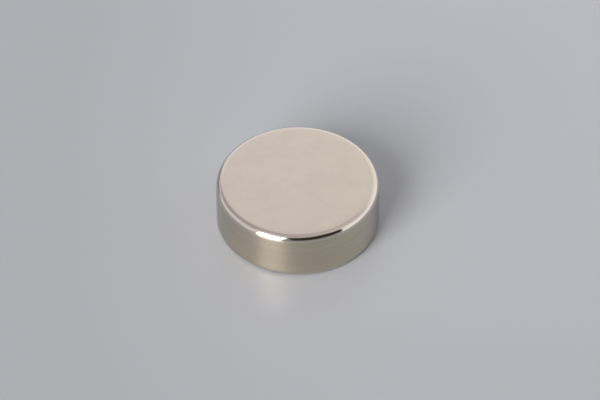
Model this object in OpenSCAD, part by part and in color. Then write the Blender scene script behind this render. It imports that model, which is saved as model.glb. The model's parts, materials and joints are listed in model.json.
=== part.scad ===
// Disc magnet: one solid disc of sintered magnet alloy, plated all over.
// Both pole faces and the wall are ground true, and both rims are tumbled round.
// Millimetres. +Z is the magnetic axis, from pole face to pole face, and the
// origin is the centre of the lower pole face, which the disc rests on.

/* [Disc] */
// Diameter over the plating
disc_d = 9.525; // [4:0.025:40]
// Thickness over the plating, from pole face to pole face
disc_h = 3.175; // [1.5:0.025:20]

/* [Rims] */
// Radius that tumbling leaves on the rim of each pole face
rim_r = 0.4; // [0.05:0.05:0.7]

/* [Hidden] */
disc_r = disc_d / 2;
face_r = disc_r - rim_r;    // flat part of each pole face
wall_h = disc_h - 2 * rim_r; // straight part of the wall
$fn = 128;

// Half of the section through the axis: two plain strips, one as wide as the
// flat faces and one as tall as the straight wall, with a round at each rim.
module half_section() {
    square([face_r, disc_h]);
    translate([0, rim_r])
        square([disc_r, wall_h]);
    for (rim_z = [rim_r, disc_h - rim_r])
        translate([face_r, rim_z])
            circle(r = rim_r);
}

module disc() {
    color([0.80, 0.77, 0.72])
        rotate_extrude()
            half_section();
}

disc();
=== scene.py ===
# Disc magnet: the finished look of the plated disc, on a pale sheet under soft studio light.
#
# Metres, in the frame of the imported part. +Z is the magnetic axis and z = 0 is what the disc
# rests on. Directions round the disc are given as an azimuth, which is 0 towards the camera
# and grows towards its right, and an elevation above the sheet, both in degrees.

import json
import math

import bpy
from mathutils import Matrix, Quaternion, Vector


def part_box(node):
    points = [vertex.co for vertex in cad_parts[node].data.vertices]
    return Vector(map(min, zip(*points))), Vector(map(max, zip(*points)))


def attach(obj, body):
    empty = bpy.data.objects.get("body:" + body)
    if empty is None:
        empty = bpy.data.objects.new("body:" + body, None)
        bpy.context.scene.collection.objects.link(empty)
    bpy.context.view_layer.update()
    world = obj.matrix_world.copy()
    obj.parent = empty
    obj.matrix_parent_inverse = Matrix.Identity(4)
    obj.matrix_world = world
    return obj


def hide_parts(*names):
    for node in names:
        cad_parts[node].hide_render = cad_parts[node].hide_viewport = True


MM = 0.001

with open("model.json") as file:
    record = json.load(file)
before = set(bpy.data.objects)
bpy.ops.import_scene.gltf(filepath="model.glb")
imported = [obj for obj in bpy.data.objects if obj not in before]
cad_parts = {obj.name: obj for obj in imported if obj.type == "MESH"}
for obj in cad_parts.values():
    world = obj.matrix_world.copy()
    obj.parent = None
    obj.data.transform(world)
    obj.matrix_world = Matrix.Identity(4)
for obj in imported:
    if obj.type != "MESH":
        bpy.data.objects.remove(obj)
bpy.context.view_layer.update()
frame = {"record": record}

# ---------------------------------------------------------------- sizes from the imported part

mounts = {mount["name"]: mount for mount in frame["record"]["mounts"]}
wall = mounts["outer_wall"]["dims"]
DISC_R = wall["r_mm"] * MM
DISC_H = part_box("disc")[1].z
RIM_R = (DISC_H - wall["length_mm"] * MM) / 2
FACE_R = DISC_R - RIM_R
MIDDLE = Vector((0, 0, DISC_H / 2))


def direction(azimuth, elevation):
    """The unit vector from the disc towards that azimuth and elevation."""
    a = math.radians(azimuth)
    e = math.radians(elevation)
    return Vector((math.sin(a) * math.cos(e), -math.cos(a) * math.cos(e), math.sin(e)))


def placed(name, data):
    """A new object that shows data, in the scene."""
    thing = bpy.data.objects.new(name, data)
    bpy.context.scene.collection.objects.link(thing)
    return thing


# ---------------------------------------------------------------- shader sums as expressions


class Value:
    """A socket that carries a number. Sums on it add Math nodes to its node tree."""

    def __init__(self, nodes, socket):
        self.nodes = nodes
        self.socket = socket

    def sum_of(self, operation, *terms):
        inputs = dict(enumerate(terms))
        return self.nodes.node("ShaderNodeMath", {"operation": operation}, inputs)["Value"]

    def __add__(self, other):
        return self.sum_of("ADD", self, other)

    __radd__ = __add__

    def __sub__(self, other):
        return self.sum_of("SUBTRACT", self, other)

    def __rsub__(self, other):
        return self.sum_of("SUBTRACT", other, self)

    def __mul__(self, other):
        return self.sum_of("MULTIPLY", self, other)

    __rmul__ = __mul__

    def __truediv__(self, other):
        return self.sum_of("DIVIDE", self, other)

    def unsigned(self):
        return self.sum_of("ABSOLUTE", self)

    def root(self):
        return self.sum_of("SQRT", self)

    def at_least(self, floor):
        return self.sum_of("MAXIMUM", self, floor)

    def rise(self):
        """The angle whose sine this is."""
        return self.sum_of("ARCSINE", self)

    def angle_over(self, other):
        """The angle whose tangent is this over other, all the way round."""
        return self.sum_of("ARCTAN2", self, other)


class Nodes:
    """The node tree of a material or of the air, under construction."""

    def __init__(self, owner):
        owner.use_nodes = True
        self.owner = owner
        self.tree = owner.node_tree
        self.tree.nodes.clear()

    def node(self, kind, settings=None, inputs=None):
        """Adds a node, sets its settings and then its inputs, and returns its outputs."""
        made = self.tree.nodes.new(kind)
        for name, value in (settings or {}).items():
            setattr(made, name, value)
        for name, value in (inputs or {}).items():
            if isinstance(value, Value):
                self.tree.links.new(value.socket, made.inputs[name])
            else:
                made.inputs[name].default_value = value
        return {out.name: Value(self, out) for out in made.outputs if out.enabled}

    def place(self, output):
        """One of the vectors that say where on its owner, or which way, is being shaded."""
        return self.node("ShaderNodeTexCoord")[output]

    def axes(self, vector):
        """The X, Y and Z of vector, as a dict."""
        return self.node("ShaderNodeSeparateXYZ", {}, {"Vector": vector})

    def stretched(self, place, x, y, z):
        """place with each of its directions multiplied."""
        settings = {"operation": "MULTIPLY"}
        return self.node("ShaderNodeVectorMath", settings, {0: place, 1: (x, y, z)})["Vector"]

    def smooth_step(self, value, low, high):
        """0 below low, 1 above high, and a soft turn between them."""
        settings = {"interpolation_type": "SMOOTHSTEP"}
        inputs = {"Value": value, "From Min": low, "From Max": high}
        return self.node("ShaderNodeMapRange", settings, inputs)["Result"]

    def between(self, value, low, high, soft):
        """1 from low to high and 0 outside, with ends that turn over soft on either side."""
        above = self.smooth_step(value, low - soft, low + soft)
        return above * (1 - self.smooth_step(value, high - soft, high + soft))

    def noise(self, place, scale, detail, roughness):
        """Soft random variation round 0.5, scale cells to the unit of place."""
        inputs = {"Vector": place, "Scale": scale, "Detail": detail, "Roughness": roughness}
        return self.node("ShaderNodeTexNoise", {}, inputs)["Fac"]

    def blended_colour(self, factor, first, second):
        """first where factor is 0 and second where it is 1."""
        inputs = {0: factor, 6: first, 7: second}
        return self.node("ShaderNodeMix", {"data_type": "RGBA"}, inputs)["Result"]

    def darkened(self, factor, colour, shade):
        """colour where factor is 0, and colour times shade where it is 1."""
        settings = {"data_type": "RGBA", "blend_type": "MULTIPLY"}
        return self.node("ShaderNodeMix", settings, {0: factor, 6: colour, 7: shade})["Result"]

    def bump(self, height, depth, under=None):
        """The normal of a surface whose height runs from 0 to depth metres, over the bumps of
        under."""
        inputs = {"Height": height, "Distance": depth}
        if under is not None:
            inputs["Normal"] = under
        return self.node("ShaderNodeBump", {}, inputs)["Normal"]

    def finish(self, inputs):
        """A Principled shader with these inputs."""
        return self.node("ShaderNodeBsdfPrincipled", {}, inputs)["BSDF"]

    def blended_shader(self, factor, first, second):
        """first where factor is 0 and second where it is 1."""
        inputs = {0: factor, 1: first, 2: second}
        return self.node("ShaderNodeMixShader", {}, inputs)["Shader"]

    def show(self, shader, output="ShaderNodeOutputMaterial"):
        """Makes shader the look of the tree's owner, and returns the owner."""
        self.node(output, {}, {"Surface": shader})
        return self.owner


def distance_from_axis(axes):
    return (axes["X"] * axes["X"] + axes["Y"] * axes["Y"]).root()


# ---------------------------------------------------------------- nickel plating

NICKEL = (0.699, 0.625, 0.520, 1.0)
NICKEL_PAINTED_WARM_REFLECTION = (0.720, 0.632, 0.512, 1.0)
CLOUD_AND_PAINTED_SHADE = (0.93, 0.93, 0.93, 1.0)
BRIGHT_NICKEL = (0.674, 0.619, 0.530, 1.0)
GROUND_NICKEL = (0.585, 0.520, 0.402, 1.0)
GROUND_NICKEL_DARK = (0.533, 0.474, 0.366, 1.0)
GRAZING_TINT = (0.82, 0.88, 0.97, 1.0)

# In millimetres: where one finish turns into the next, counted outwards from the edge of the
# flat face or of the straight wall
TURN_START = -0.05
FACE_TURN_END = 0.10
WALL_TURN_END = 0.18
BURNISH_END = 0.30

# How much of the darkening comes from the mottle, a real clouding of the plating, and how much
# from painted shade towards the front of the faces
MOTTLE_SHARE = 0.4
PAINTED_FRONT_SHADE_SHARE = 0.45
PAINTED_WARM_REFLECTION_REACH = 4
PAINTED_FRONT_SHADE_REACH = 5

FACE_ROUGH = 0.205
RIM_ROUGH = 0.09
WALL_ROUGH = 0.215
GRAIN_DEPTH = 0.0006 * MM
LINE_DEPTH = 0.0012 * MM


def nickel_plating():
    """Bright nickel over a ground block: satin pole faces, burnished rims, a wall with fine
    grinding lines that run round it."""
    plating = Nodes(bpy.data.materials.new("nickel_plating"))
    in_mm = plating.stretched(plating.place("Object"), 1 / MM, 1 / MM, 1 / MM)
    axes = plating.axes(in_mm)
    from_axis = distance_from_axis(axes)
    from_middle = (axes["Z"] - DISC_H / 2 / MM).unsigned()

    face_edge = FACE_R / MM
    face_end = face_edge + FACE_TURN_END
    wall_edge = (DISC_H / 2 - RIM_R) / MM
    off_face = plating.smooth_step(from_axis, face_edge + TURN_START, face_end)
    off_wall = plating.smooth_step(from_middle, wall_edge + TURN_START, wall_edge + WALL_TURN_END)
    on_wall = 1 - off_wall
    on_face = 1 - off_face
    on_rim = off_face * off_wall

    # Clouding of the satin faces, a few tenths of a millimetre to a millimetre or two across
    clouds = plating.noise(in_mm, scale=0.8, detail=4.0, roughness=0.6)
    grain = plating.noise(in_mm, scale=14.0, detail=2.0, roughness=0.6)
    # Grinding lines: long round the disc, thin along its axis
    drawn_out = plating.stretched(in_mm, 0.12, 0.12, 7.0)
    lines = plating.noise(drawn_out, scale=1.0, detail=4.0, roughness=0.7)
    drawn_out = plating.stretched(in_mm, 0.08, 0.08, 3.0)
    bands = plating.noise(drawn_out, scale=1.0, detail=2.0, roughness=0.5)

    mottle = plating.smooth_step(clouds, 0.35, 0.65)
    # Painted reflection: the faces turn warmer and a little lighter towards the right
    painted_warm_reflection_mask = plating.smooth_step(axes["X"], -PAINTED_WARM_REFLECTION_REACH, PAINTED_WARM_REFLECTION_REACH)
    # Painted shade: the faces turn darker towards the front
    painted_shade_front_mask = plating.smooth_step(axes["Y"] * -1, -PAINTED_FRONT_SHADE_REACH, PAINTED_FRONT_SHADE_REACH)
    clear = plating.blended_colour(painted_warm_reflection_mask, NICKEL, NICKEL_PAINTED_WARM_REFLECTION)
    clouding_and_painted_shade = mottle * MOTTLE_SHARE + painted_shade_front_mask * PAINTED_FRONT_SHADE_SHARE
    faces_colour = plating.darkened(clouding_and_painted_shade, clear, CLOUD_AND_PAINTED_SHADE)
    burnish = plating.smooth_step(from_axis, face_end, face_edge + BURNISH_END)
    above_wall = plating.blended_colour(burnish, faces_colour, BRIGHT_NICKEL)
    streaks = plating.smooth_step(lines, 0.3, 0.7)
    wall_colour = plating.blended_colour(streaks, GROUND_NICKEL_DARK, GROUND_NICKEL)

    face_rough = FACE_ROUGH + clouds * 0.06 + grain * 0.02
    wall_rough = WALL_ROUGH + bands * 0.035 + lines * 0.02
    grained = plating.bump(grain * on_face, GRAIN_DEPTH)

    even = {
        "Base Color": plating.blended_colour(on_wall, above_wall, wall_colour),
        "Metallic": 1.0,
        "Specular Tint": GRAZING_TINT,
        "Roughness": on_face * face_rough + on_rim * RIM_ROUGH + on_wall * wall_rough,
        "Normal": plating.bump(lines * on_wall, LINE_DEPTH, under=grained),
    }
    brushed = {**even, "Anisotropic": 0.4, "Anisotropic Rotation": 0.25}
    looks = plating.finish(even), plating.finish(brushed)
    return plating.show(plating.blended_shader(on_wall, *looks))


# ---------------------------------------------------------------- the disc

TURNS = 288
RIM_STEPS = 24
FACE_RINGS = 10
WALL_RINGS = 12


def half_section():
    """Radius and height of each ring of the disc's skin, from the upper face's first ring
    to the lower face's last."""
    rings = []
    for step in range(1, FACE_RINGS + 1):
        rings.append((FACE_R * step / FACE_RINGS, DISC_H))
    for step in range(1, RIM_STEPS + 1):
        turn = math.pi / 2 * step / RIM_STEPS
        rings.append((FACE_R + RIM_R * math.sin(turn), DISC_H - RIM_R + RIM_R * math.cos(turn)))
    for step in range(1, WALL_RINGS):
        rings.append((DISC_R, DISC_H - RIM_R - (DISC_H - 2 * RIM_R) * step / WALL_RINGS))
    upper = [ring for ring in rings if ring[1] > DISC_H / 2 + 1e-9]
    lower = [(r, DISC_H - z) for r, z in reversed(upper)]
    return upper + [(DISC_R, DISC_H / 2)] + lower


def disc_skin():
    """The whole skin as one closed mesh, turned about the axis."""
    rings = half_section()
    points = [(0.0, 0.0, DISC_H)]
    for r, z in rings:
        for turn in range(TURNS):
            a = 2 * math.pi * turn / TURNS
            points.append((r * math.cos(a), r * math.sin(a), z))
    points.append((0.0, 0.0, 0.0))
    last_point = len(points) - 1
    last_ring = len(rings) - 1

    def at(ring, turn):
        return 1 + ring * TURNS + turn % TURNS

    faces = []
    for turn in range(TURNS):
        beyond = turn + 1
        faces.append((0, at(0, turn), at(0, beyond)))
        faces.append((last_point, at(last_ring, beyond), at(last_ring, turn)))
    for ring in range(last_ring):
        for turn in range(TURNS):
            beyond = turn + 1
            corners = at(ring, turn), at(ring + 1, turn), at(ring + 1, beyond), at(ring, beyond)
            faces.append(corners)
    mesh = bpy.data.meshes.new("plated_disc")
    mesh.from_pydata(points, [], faces)
    mesh.validate()
    for face in mesh.polygons:
        face.use_smooth = True
    return mesh


plated_disc = placed("plated_disc", disc_skin())
plated_disc.data.materials.append(nickel_plating())
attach(plated_disc, "root")
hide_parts("disc")


# ---------------------------------------------------------------- the sheet it lies on

SHEET_SIDE = 4.0
SHEET_IN_PAINTED_SHADE = (0.327, 0.338, 0.342, 1.0)
SHEET_IN_PAINTED_LIGHT = (0.384, 0.398, 0.402, 1.0)
SHEET_ROUGH = 0.34
SHEET_GLOSS = 0.6

# Painted light and shade on the sheet: how far each side goes from painted shade (0) to painted
# light (1)
PAINTED_SHADE_IN_FRONT = 0.46
PAINTED_SHADE_BEHIND = 0.12
PAINTED_LIGHT_BEHIND_RIGHT = 0.35
PAINTED_SHADE_FAR_OFF = 0.20


def sheet_finish_with_painted_light():
    """Satin, with painted light and shade: a little brighter on the right and behind, darker in
    front and away from the disc; matt where it is seen edge-on.
    """
    sheet = Nodes(bpy.data.materials.new("satin_sheet_with_painted_light"))
    axes = sheet.axes(sheet.place("Object"))
    # Painted light and shade: masks that make the sheet brighter to the right and behind on the
    # right, and darker in front, behind and away from the disc
    painted_light_right_mask = sheet.smooth_step(axes["X"], -22 * MM, 4 * MM)
    painted_shade_front_mask = sheet.smooth_step(axes["Y"] * -1, 2 * MM, 19 * MM)
    painted_shade_back_mask = sheet.smooth_step(axes["Y"], 4 * MM, 20 * MM)
    painted_shade_far_mask = sheet.smooth_step(distance_from_axis(axes), 5 * MM, 11 * MM)
    painted_light_behind_right_mask = painted_shade_back_mask * sheet.smooth_step(axes["X"], 0, 12 * MM)
    painted_light_level = painted_light_right_mask * (1 - painted_shade_front_mask * PAINTED_SHADE_IN_FRONT) - painted_shade_back_mask * PAINTED_SHADE_BEHIND
    painted_light_level = painted_light_level + painted_light_behind_right_mask * PAINTED_LIGHT_BEHIND_RIGHT - painted_shade_far_mask * PAINTED_SHADE_FAR_OFF
    satin = {
        "Base Color": sheet.blended_colour(painted_light_level, SHEET_IN_PAINTED_SHADE, SHEET_IN_PAINTED_LIGHT),
        "Roughness": SHEET_ROUGH,
        "Specular IOR Level": SHEET_GLOSS,
    }
    matt = {**satin, "Specular IOR Level": 0.0}
    facing = sheet.node("ShaderNodeLayerWeight", {}, {"Blend": 0.5})["Facing"]
    edge_on = sheet.smooth_step(facing, 0.72, 0.89)
    return sheet.show(sheet.blended_shader(edge_on, sheet.finish(satin), sheet.finish(matt)))


def pale_sheet():
    half = SHEET_SIDE / 2
    corners = [(-half, -half, 0), (half, -half, 0), (half, half, 0), (-half, half, 0)]
    mesh = bpy.data.meshes.new("sheet")
    mesh.from_pydata(corners, [], [(0, 1, 2, 3)])
    mesh.materials.append(sheet_finish_with_painted_light())
    placed("sheet", mesh)


pale_sheet()


# ---------------------------------------------------------------- light

BACKDROP = (0.45, 0.452, 0.48, 1.0)

# The pale ring near the horizon: its level, how that grows to the right and behind, and the
# gap in it behind on the left. Bands of azimuth are from, to and softness.
RING_LEVEL = 1.0
RING_TO_RIGHT = 0.18
RING_CURVE = 0.03
RING_TO_BACK = 0.02
GAP = (-152, -122, 8)
GAP_TOP = (2, 34)
GAP_DEPTH = 0.72

# The dimmer air overhead, and the elevation where the ring fades into it
OVERHEAD_LEVEL = 0.575
OVERHEAD_TO_RIGHT = 0.22
FADE = 47.5
FADE_SOFT = 13
HOLLOW = (-152, -108, 12)
HOLLOW_FALL = 18
DIP = (90, 124, 14)
DIP_FALL = 14

# The dim side where the camera stands
FRONT = (-56, 56, 3)
FRONT_TOP = (59, 70)
FRONT_LEVEL = 0.30

# Flat panels that face the disc. Half sizes and softness are for one a metre away.
KEY = {"azimuth": -36.5, "elevation": 17, "roll": 1, "half_width": 0.265, "half_height": 0.565}
KEY_SOFT = {"sides": 0.03, "ends": 0.08}
KEY_LEVEL = 12.7
CARD = {"azimuth": 25, "elevation": 22, "roll": 0, "half_width": 0.60, "half_height": 0.70}
CARD_SOFT = {"sides": 0.02, "ends": 0.02}
CARD_FOOT = (8, 19)
CARD_LEVEL = 0.035
GLOW = {"azimuth": -52, "elevation": 62, "roll": 0, "half_width": 0.20, "half_height": 0.22}
GLOW_SOFT = {"sides": 0.09, "ends": 0.12}
GLOW_LEVEL = 0.4

RING_TINT = (0.985, 0.988, 1.06, 1.0)
OVERHEAD_TINT = (1.02, 0.978, 1.055, 1.0)
KEY_TINT = (1.01, 0.983, 1.01, 1.0)
CARD_TINT = (1.2, 0.98, 0.88, 1.0)


def panel(air, axes, azimuth, elevation, roll, half_width, half_height, sides, ends):
    """1 on a flat panel in the middle of that azimuth and elevation, and 0 off it."""
    facing = direction(azimuth, elevation)
    across = direction(azimuth + 90, 0)
    across.rotate(Quaternion(facing, math.radians(-roll)))
    rise = facing.cross(across)

    def along(way):
        return axes["X"] * way.x + axes["Y"] * way.y + axes["Z"] * way.z

    ahead = along(facing)
    in_front = air.smooth_step(ahead, 0.05, 0.15)
    sideways = along(across) / ahead.at_least(0.05)
    upwards = along(rise) / ahead.at_least(0.05)
    wide = air.between(sideways, -half_width, half_width, sides)
    return in_front * wide * air.between(upwards, -half_height, half_height, ends)


def studio_air():
    """Light from all round, as a shiny thing in the middle of the studio would show it: a pale
    ring that fades overhead, a dim side where the camera stands, a tall key softbox on its left
    and a black card on its right. Seen straight on it is a plain backdrop."""
    air = Nodes(bpy.data.worlds.new("studio_air"))
    bpy.context.scene.world = air.owner
    axes = air.axes(air.place("Generated"))
    azimuth = axes["X"].angle_over(axes["Y"] * -1) * math.degrees(1)
    elevation = axes["Z"].rise() * math.degrees(1)

    gap = air.between(azimuth, *GAP) * (1 - air.smooth_step(elevation, *GAP_TOP))
    ring = (RING_TO_RIGHT - axes["X"] * RING_CURVE) * axes["X"] + axes["Y"] * RING_TO_BACK
    ring = (ring + RING_LEVEL) * (1 - gap * GAP_DEPTH)
    high = axes["X"] * OVERHEAD_TO_RIGHT + OVERHEAD_LEVEL
    hollow = air.between(azimuth, *HOLLOW)
    dip = air.between(azimuth, *DIP)
    fade = FADE - hollow * HOLLOW_FALL - dip * DIP_FALL
    overhead = air.smooth_step(elevation, fade - FADE_SOFT, fade + FADE_SOFT)
    level = ring + (high - ring) * overhead

    front = air.between(azimuth, *FRONT) * (1 - air.smooth_step(elevation, *FRONT_TOP))
    glow = panel(air, axes, **GLOW, **GLOW_SOFT)
    key = panel(air, axes, **KEY, **KEY_SOFT)
    card = panel(air, axes, **CARD, **CARD_SOFT) * air.smooth_step(elevation, *CARD_FOOT)
    level = level + (FRONT_LEVEL - level) * front + glow * GLOW_LEVEL
    level = level + (KEY_LEVEL - level) * key
    level = level + (CARD_LEVEL - level) * card
    tint = air.blended_colour(overhead, RING_TINT, OVERHEAD_TINT)
    tint = air.blended_colour(key, tint, KEY_TINT)
    tint = air.blended_colour(card, tint, CARD_TINT)

    def background(colour, strength):
        inputs = {"Color": colour, "Strength": strength}
        return air.node("ShaderNodeBackground", {}, inputs)["Background"]

    seen = air.node("ShaderNodeLightPath")["Is Camera Ray"]
    both = air.blended_shader(seen, background(tint, level), background(BACKDROP, 1.0))
    air.show(both, "ShaderNodeOutputWorld")


studio_air()


# ---------------------------------------------------------------- camera

CAMERA_ELEVATION = 44.9
CAMERA_DISTANCE = 0.4973
CAMERA_TILT = -0.4
LENS = 510
SENSOR_WIDTH = 36
NEAREST = 0.01
FARTHEST = 10
AIM = MIDDLE + Vector((0.129 * MM, 0, 0.021 * MM))


def camera():
    data = bpy.data.cameras.new("camera")
    data.lens = LENS
    data.sensor_width = SENSOR_WIDTH
    data.clip_start = NEAREST
    data.clip_end = FARTHEST
    thing = placed("camera", data)
    back = direction(0, CAMERA_ELEVATION)
    thing.location = AIM + back * CAMERA_DISTANCE
    level = back.to_track_quat("Z", "Y").to_matrix()
    tilt = Matrix.Rotation(math.radians(CAMERA_TILT), 3, "Z")
    thing.rotation_mode = "QUATERNION"
    thing.rotation_quaternion = (level @ tilt).to_quaternion()
    bpy.context.scene.camera = thing


camera()
bpy.context.scene.view_settings.view_transform = "Standard"
